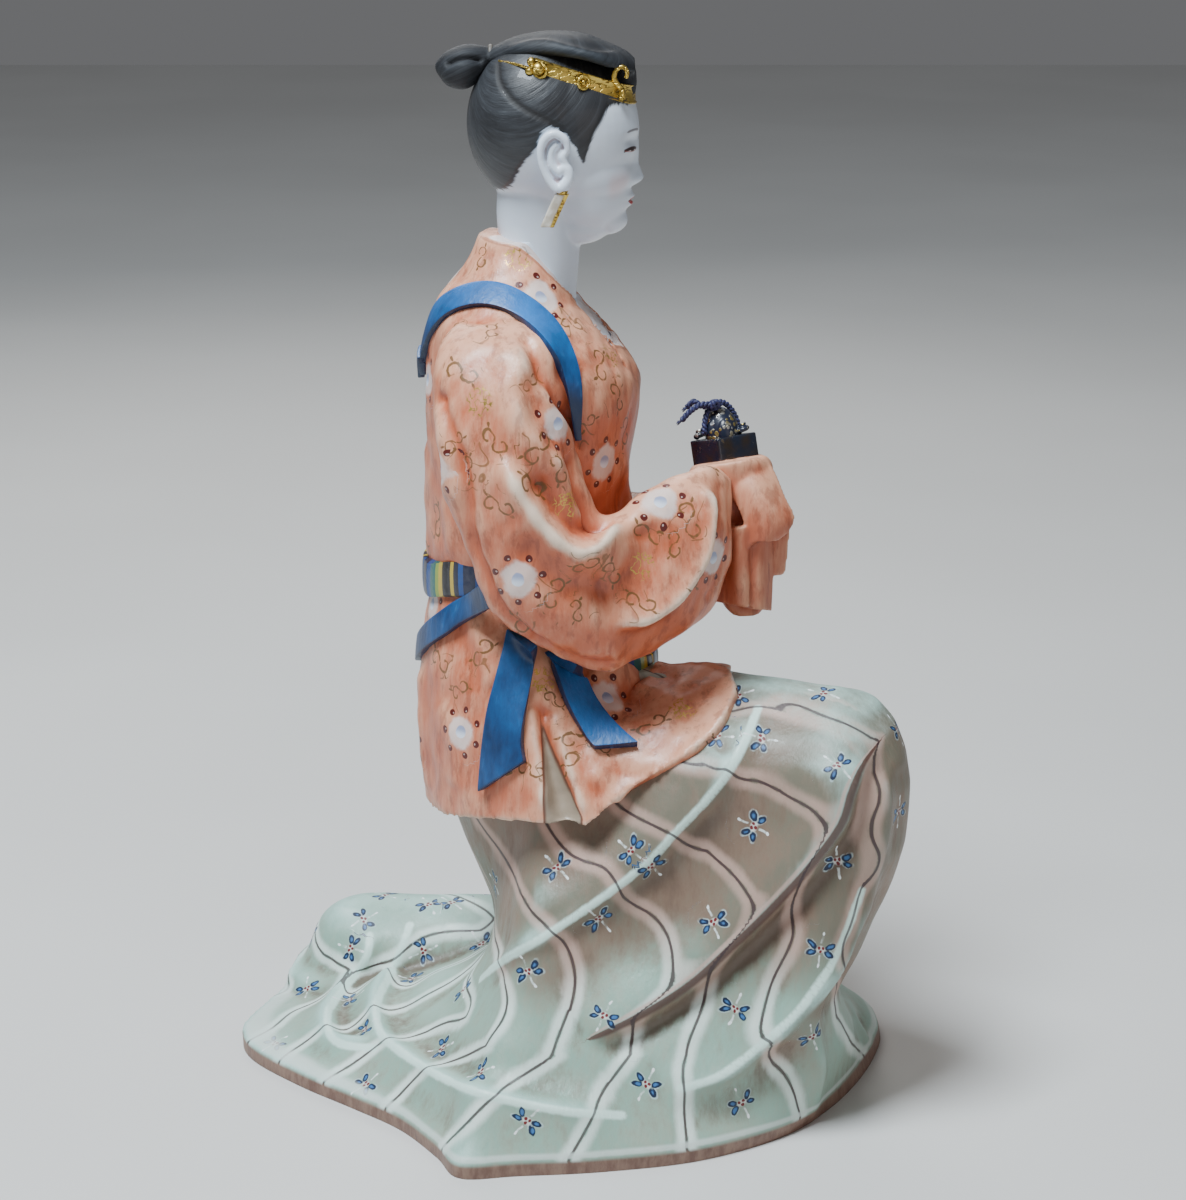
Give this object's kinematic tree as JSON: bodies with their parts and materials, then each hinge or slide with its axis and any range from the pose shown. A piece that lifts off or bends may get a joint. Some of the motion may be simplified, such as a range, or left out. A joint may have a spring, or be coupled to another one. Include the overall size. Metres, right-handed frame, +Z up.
{
  "type": "kneeling figure doll",
  "caption": "Painted clay figure of a kneeling court attendant in a long robe, one knee raised, holding up a small seal on cloth-covered hands.",
  "frame": {"origin": "on the flat underside, below the waist of the figure", "axes": "the figure looks along -Y, its right side is at -X, +Z is up"},
  "size_m": [0.1793, 0.2069, 0.3202],
  "materials": {
    "painted_clay": "unglazed fired clay, hand painted, matte",
    "dark_lacquer": "dark lacquer, gloss, gilt speckles on the knob",
    "navy_cord": "stiffened twisted cord"
  },
  "bodies": {
    "root": {"figure": "painted_clay", "seal": "dark_lacquer", "seal_cord": "navy_cord"}
  },
  "joints": []
}
